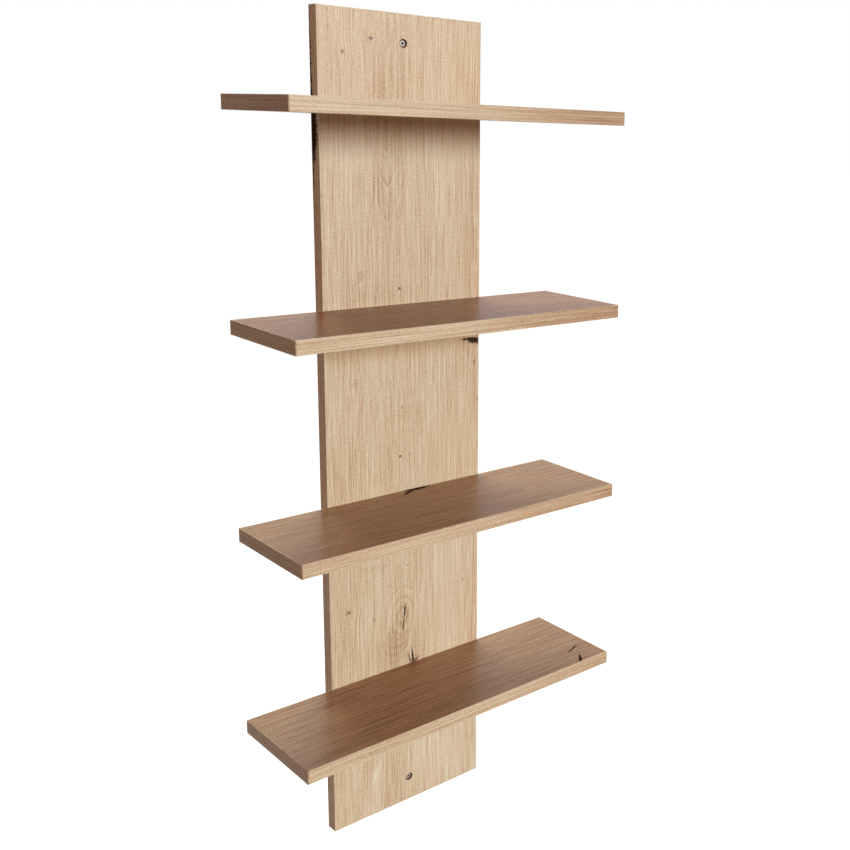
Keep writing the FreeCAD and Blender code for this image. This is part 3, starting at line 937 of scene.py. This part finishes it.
zinc = {
    "ramp": [(0.0, (122, 119, 114)), (0.5, (166, 161, 153)), (1.0, (204, 199, 190))],
    "grimeAndShade": (24, 19, 16),
    "cloudWaves": 900,            # waves a metre
    "scratchWaves": (5200, 700, 900),
    "ringWaves": (16000, 9000),   # turning marks, out from the axis and down it
    "grimeAndShadeDepth": (0.0001, 0.0008),     # metres below the head's face at which grime and painted shade start and are full
    "grimeAndShadeReach": (0.0034, 0.0020),     # metres from the axis at which they start and are full
    "hollowPaintedShadeReach": (0.0027, 0.0018),    # painted shade in the recess, from the axis outwards
    "hollowPaintedShade": 0.9,
    "grimeAndShadeStrength": 0.95,
    "scratchStep": (0.17, 0.24),
    "toneShares": {"cloud": 1.0, "marks": 0.5},
    "heightShares": {"marks": 0.4, "scratch": -0.5},
    "roughShares": {"cloud": 0.35, "scratch": 0.1, "grimeAndShade": 0.2},
    "roughness": 0.66,
    "relief": 0.00002,
}
beechWood = {
    "ramp": [(0.0, (166, 120, 80)), (0.5, (202, 158, 112)), (1.0, (224, 186, 142))],
    "fibreWaves": (900, 40, 900),
    "fleckWaves": (1900, 330, 1900),
    "fleckStep": (0.12, 0.2),
    "toneShares": {"fibre": 1.2, "fleck": -0.25},
    "heightShares": {"fibre": 1.0, "fleck": -0.5},
    "roughShares": {"fibre": 0.2},
    "roughness": 0.6,
    "relief": 0.0001,
}


def steelMaterial(name):   # bright zinc: turning marks round the axis, cloudy patches, grime and painted shade in the recess
    material, tree = newMaterial(name)
    place = texturePlace(tree, "Object")
    reach = attribute(tree, "reach")
    depth = attribute(tree, "depth")
    outwards, downwards = zinc["ringWaves"]
    grimeAndShade = depth.rise(*zinc["grimeAndShadeDepth"]) * reach.rise(*zinc["grimeAndShadeReach"])
    finish = {
        "cloud": noise(scaled(tree, place, [zinc["cloudWaves"]] * 3), detail=3),
        "marks": noise(point(tree, reach * outwards, depth * downwards, 0.0), detail=2),
        "scratch": noise(scaled(tree, place, zinc["scratchWaves"]), detail=1).rise(*zinc["scratchStep"]),
        # the recess is darkened by grime and by painted shade
        "grimeAndShade": grimeAndShade.most(reach.rise(*zinc["hollowPaintedShadeReach"]) * zinc["hollowPaintedShade"]),
    }
    tint = ramp(weighted(finish, zinc["toneShares"]) + 0.5, zinc["ramp"])
    tint = blend(finish["grimeAndShade"] * zinc["grimeAndShadeStrength"], tint, colour(*zinc["grimeAndShade"]))
    rough = weighted(finish, zinc["roughShares"]) + zinc["roughness"]
    height = weighted(finish, zinc["heightShares"])
    return surface(material, tint, rough, height, zinc["relief"], Metallic=1.0)


def beechMaterial(name):   # plain beech with short darker flecks along the grain
    material, tree = newMaterial(name)
    place = texturePlace(tree, "Object")
    finish = {
        "fibre": noise(scaled(tree, place, beechWood["fibreWaves"]), detail=3),
        "fleck": noise(scaled(tree, place, beechWood["fleckWaves"]), detail=1).rise(*beechWood["fleckStep"]),
    }
    tint = ramp(weighted(finish, beechWood["toneShares"]) + 0.5, beechWood["ramp"])
    rough = weighted(finish, beechWood["roughShares"]) + beechWood["roughness"]
    height = weighted(finish, beechWood["heightShares"])
    return surface(material, tint, rough, height, beechWood["relief"])


steel = steelMaterial("zincSteel")
beech = beechMaterial("beechDowel")
for name in ("upper_wall_screw", "lower_wall_screw"):
    makePiece(f"{name}_turned", [makeWallScrew(name)], steel, name)
for shelf in shelves:
    name = f"{shelf}_shelf_screws"
    makePiece(f"{name}_turned", makeConnectors(name), steel, name)
    name = f"{shelf}_shelf_dowels"
    makePiece(f"{name}_grooved", makeDowels(name), beech, name)
print("screws and dowels made")


# floor, world, lamps and camera

studio = {
    "floorHeight": -1.1,
    "floorReach": 40.0,
    "floorTone": 0.5,
    "floorWhite": 0.9,           # added where the camera or a mirror looks at the floor
    "fillStrength": 0.26,
    "fillTint": (1.0, 0.44, 0.235, 1.0),
    "keyStrength": 2.46,
    "keyTint": (0.96, 1.0, 1.0),
    "keyHeight": 11.0,           # degrees above the horizon
    "keySide": 22.0,             # degrees to the right of straight ahead
    "keySpread": 18.0,           # degrees across, which sets how soft its shadows are
    "panelDistance": 3.0,        # a soft panel above and behind lights the back and the shelf tops
    "panelHeight": 58.0,
    "panelSide": 155.0,
    "panelWide": 1.6,
    "panelTall": 1.6,
    "panelPower": 82.0,
    "panelTint": (0.84, 1.0, 0.96),
}
view = {
    "place": (-1.0186, -1.5928, 0.5210),
    "turn": (77.645, -2.178, -44.814),
    "lens": 47.4685,
    "sensor": 36,
    "shift": (-0.25882, -0.05780),
}


def makeFloor():
    reach = studio["floorReach"]
    height = studio["floorHeight"]
    corners = [(x * reach, y * reach, height) for x, y in ((-1, -1), (1, -1), (1, 1), (-1, 1))]
    mesh = bpy.data.meshes.new("floor")
    mesh.from_pydata(corners, [], [(0, 1, 2, 3)])
    floor = bpy.data.objects.new("floor", mesh)
    bpy.context.scene.collection.objects.link(floor)
    material, tree = newMaterial("paleFloor")
    diffuse = tree.nodes.new("ShaderNodeBsdfDiffuse")
    tone = studio["floorTone"]
    diffuse.inputs["Color"].default_value = (tone, tone, tone, 1)
    glow = tree.nodes.new("ShaderNodeEmission")
    feed(tree, glow.inputs["Strength"], seenDirectly(tree) * studio["floorWhite"])
    both = tree.nodes.new("ShaderNodeAddShader")
    tree.links.new(diffuse.outputs[0], both.inputs[0])
    tree.links.new(glow.outputs[0], both.inputs[1])
    output = tree.nodes.new("ShaderNodeOutputMaterial")
    tree.links.new(both.outputs[0], output.inputs[0])
    mesh.materials.append(material)


def seenDirectly(tree):   # 1 for rays from the camera, a mirror or glass
    path = tree.nodes.new("ShaderNodeLightPath")
    camera, glossy, through = (
        Wire(tree, path.outputs[name])
        for name in ("Is Camera Ray", "Is Glossy Ray", "Is Transmission Ray")
    )
    return camera.most(glossy).most(through)


def makeWorld():
    world = bpy.data.worlds.new("studio")
    bpy.context.scene.world = world
    world.use_nodes = True
    tree = world.node_tree
    tree.nodes.clear()
    background = tree.nodes.new("ShaderNodeBackground")
    direct = seenDirectly(tree)
    feed(tree, background.inputs["Color"], blend(direct, studio["fillTint"], (1, 1, 1, 1)))
    feed(tree, background.inputs["Strength"], direct * (1 - studio["fillStrength"]) + studio["fillStrength"])
    output = tree.nodes.new("ShaderNodeOutputWorld")
    tree.links.new(background.outputs[0], output.inputs[0])


def addLamp(name, kind, place, **settings):
    light = bpy.data.lights.new(name, kind)
    for key, value in settings.items():
        setattr(light, key, value)
    lamp = bpy.data.objects.new(name, light)
    lamp.location = place
    bpy.context.scene.collection.objects.link(lamp)
    return lamp


def direction(side, height):   # the unit vector so many degrees right of straight ahead and above level
    side, height = math.radians(side), math.radians(height)
    return Vector((math.sin(side) * math.cos(height), -math.cos(side) * math.cos(height), math.sin(height)))


def makeLamps():
    away = direction(studio["keySide"], studio["keyHeight"])
    key = addLamp("keyLamp", "SUN", away, energy=studio["keyStrength"], color=studio["keyTint"],
                  angle=math.radians(studio["keySpread"]))
    key.rotation_euler = (-away).to_track_quat("-Z", "Y").to_euler()
    away = direction(studio["panelSide"], studio["panelHeight"])
    panel = addLamp("backPanel", "AREA", away * studio["panelDistance"],
                    energy=studio["panelPower"], color=studio["panelTint"], shape="RECTANGLE",
                    size=studio["panelWide"], size_y=studio["panelTall"])
    panel.rotation_euler = (-away).to_track_quat("-Z", "Y").to_euler()
    panel.visible_camera = False


def makeCamera():
    lens = bpy.data.cameras.new("camera")
    lens.sensor_width = view["sensor"]
    lens.lens = view["lens"]
    lens.shift_x, lens.shift_y = view["shift"]
    camera = bpy.data.objects.new("camera", lens)
    camera.location = view["place"]
    camera.rotation_euler = [math.radians(angle) for angle in view["turn"]]
    bpy.context.scene.collection.objects.link(camera)
    bpy.context.scene.camera = camera


makeFloor()
makeWorld()
makeLamps()
makeCamera()
bpy.context.scene.view_settings.view_transform = "Standard"
print("studio and camera set")
